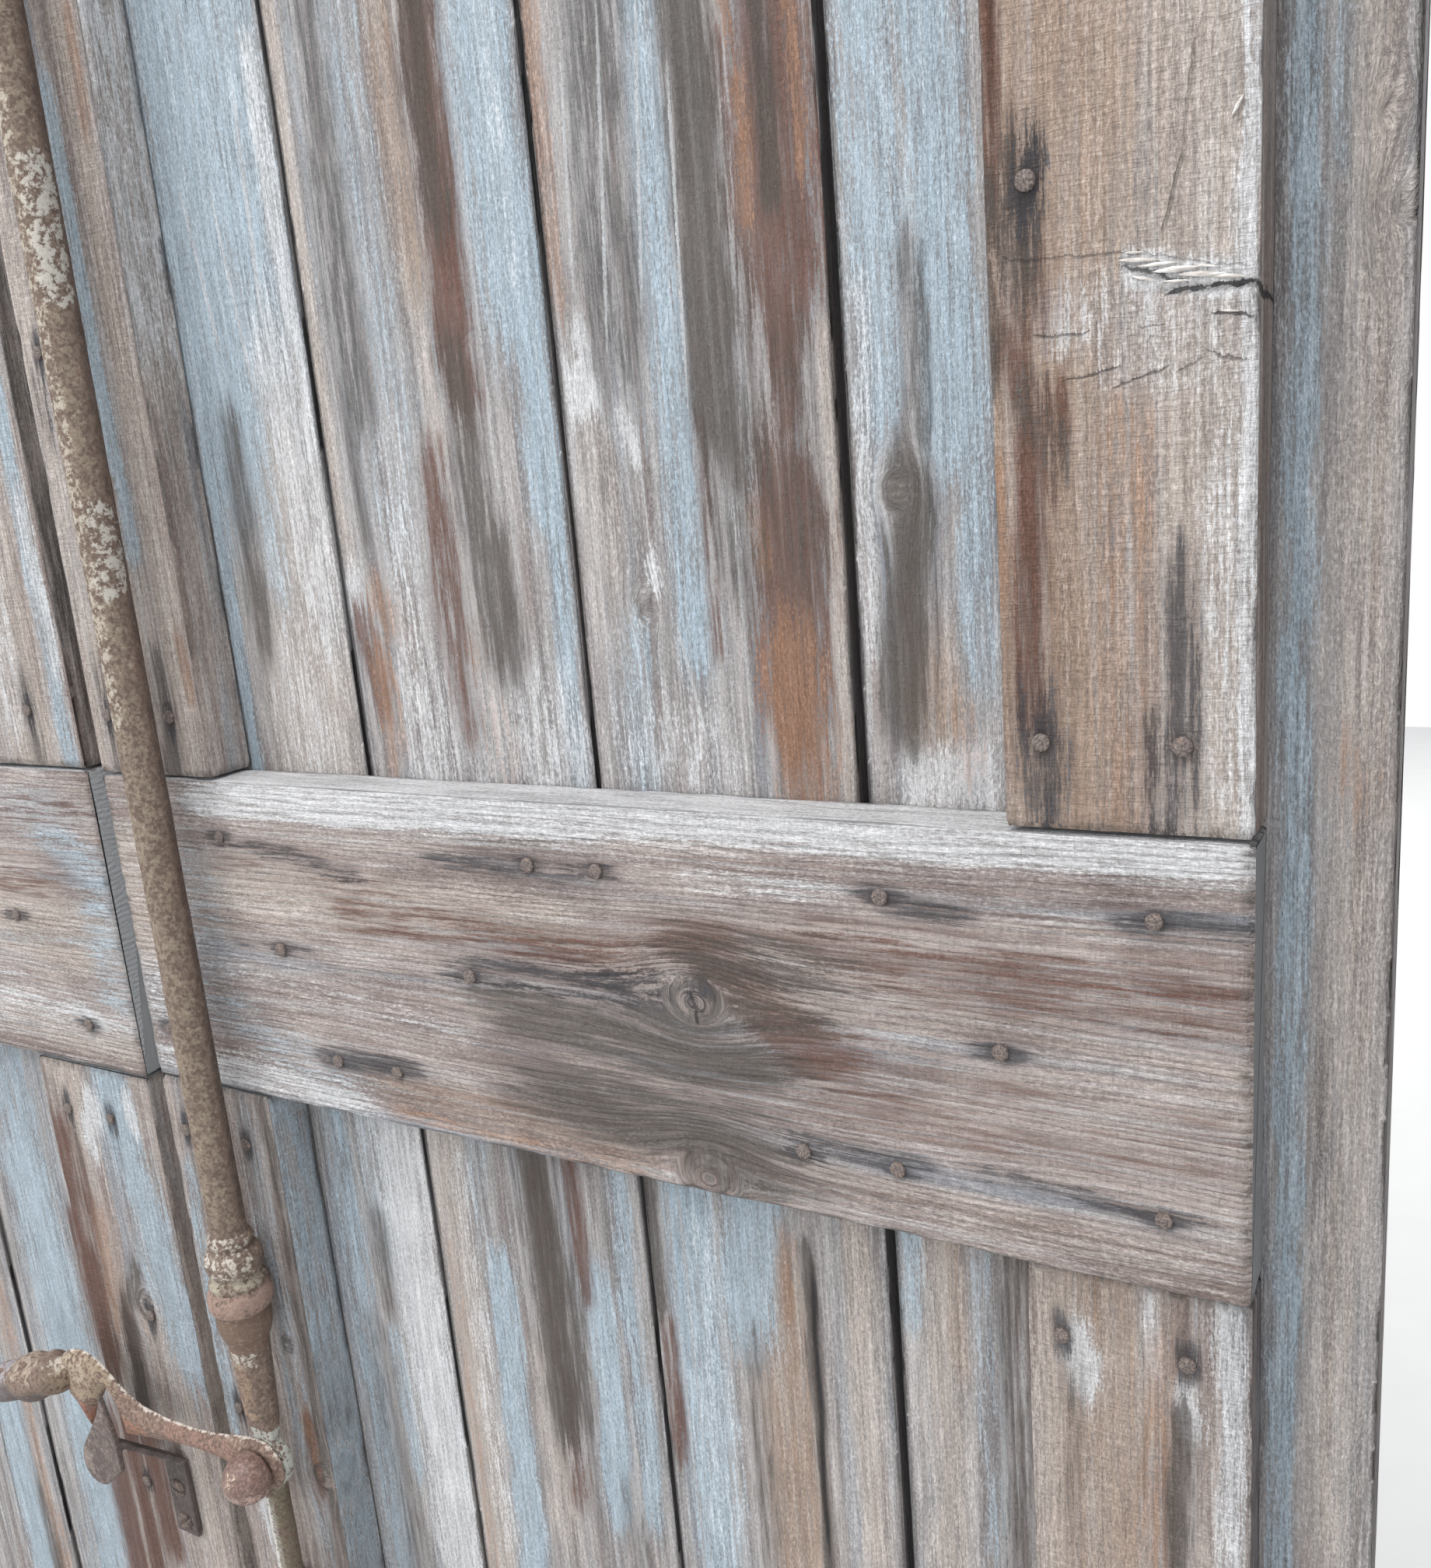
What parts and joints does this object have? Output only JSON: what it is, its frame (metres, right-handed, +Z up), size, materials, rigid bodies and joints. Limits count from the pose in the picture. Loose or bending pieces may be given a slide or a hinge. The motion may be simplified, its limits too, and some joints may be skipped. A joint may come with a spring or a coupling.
{
  "type": "pair of wooden shutters",
  "caption": "Closed pair of old boarded window shutters with nailed rails and stiles, strap hinges and a forged turning bolt, in a timber frame.",
  "frame": {"origin": "middle of the sill's underside below the plane between the leaves' two layers of wood", "axes": "+X to the right as seen from the room, +Y outdoors, +Z up"},
  "size_m": [1.164, 0.11, 1.528],
  "materials": {
    "board_wood": "weathered, worn pale blue paint",
    "framing_wood": "weathered, worn",
    "frame_wood": "weathered",
    "small_iron": "rusted, dull",
    "hinge_iron": "rusted",
    "keep_iron": "dark, smooth",
    "bolt_iron": "rusted, with remains of paint"
  },
  "bodies": {
    "frame": {"frame_sill": "frame_wood", "frame_head": "frame_wood", "frame_left_jamb": "frame_wood", "frame_right_jamb": "frame_wood", "frame_pegs": "frame_wood", "pintle_left_bottom": "hinge_iron", "pintle_left_top": "hinge_iron", "pintle_right_bottom": "hinge_iron", "pintle_right_top": "hinge_iron", "pintle_screws": "small_iron", "bolt_keep_head": "keep_iron", "bolt_keep_sill": "keep_iron", "bolt_keep_screws": "small_iron"},
    "right_leaf": {"right_board_1": "board_wood", "right_board_2": "board_wood", "right_board_3": "board_wood", "right_board_4": "board_wood", "right_board_5": "board_wood", "right_bottom_rail": "framing_wood", "right_middle_rail": "framing_wood", "right_top_rail": "framing_wood", "right_lower_meeting_stile": "framing_wood", "right_lower_hinge_stile": "framing_wood", "right_upper_meeting_stile": "framing_wood", "right_upper_hinge_stile": "framing_wood", "right_strap_bottom": "hinge_iron", "right_strap_top": "hinge_iron", "right_nails": "small_iron", "right_strap_bolts": "hinge_iron", "right_strap_nuts": "hinge_iron", "rod_guides_upper": "bolt_iron", "rod_guides_lower": "bolt_iron", "guide_screws": "small_iron"},
    "left_leaf": {"left_board_1": "board_wood", "left_board_2": "board_wood", "left_board_3": "board_wood", "left_board_4": "board_wood", "left_board_5": "board_wood", "left_bottom_rail": "framing_wood", "left_middle_rail": "framing_wood", "left_top_rail": "framing_wood", "left_lower_meeting_stile": "framing_wood", "left_lower_hinge_stile": "framing_wood", "left_upper_meeting_stile": "framing_wood", "left_upper_hinge_stile": "framing_wood", "left_strap_bottom": "hinge_iron", "left_strap_top": "hinge_iron", "left_nails": "small_iron", "left_strap_bolts": "hinge_iron", "left_strap_nuts": "hinge_iron", "lever_keep": "keep_iron", "lever_keep_screws": "small_iron"},
    "rod": {"espagnolette_rod": "bolt_iron", "lever_pivot_pin": "bolt_iron"},
    "handle": {"lever_handle": "bolt_iron"}
  },
  "joints": [
    {"name": "right_leaf_swing", "type": "hinge", "parent": "frame", "child": "right_leaf", "pos_m": [0.521, 0.035, 0.764], "axis": [0, 0, -1], "range_deg": [0, 170]},
    {"name": "left_leaf_swing", "type": "hinge", "parent": "frame", "child": "left_leaf", "pos_m": [-0.521, 0.035, 0.764], "axis": [0, 0, 1], "range_deg": [0, 170]},
    {"name": "espagnolette_turn", "type": "hinge", "parent": "right_leaf", "child": "rod", "pos_m": [0.053, -0.037, 0.764], "axis": [0, 0, 1], "range_deg": [0, 90]},
    {"name": "handle_lift", "type": "hinge", "parent": "rod", "child": "handle", "pos_m": [0.053, -0.037, 0.518], "axis": [0, 1, 0], "range_deg": [0, 35]}
  ]
}
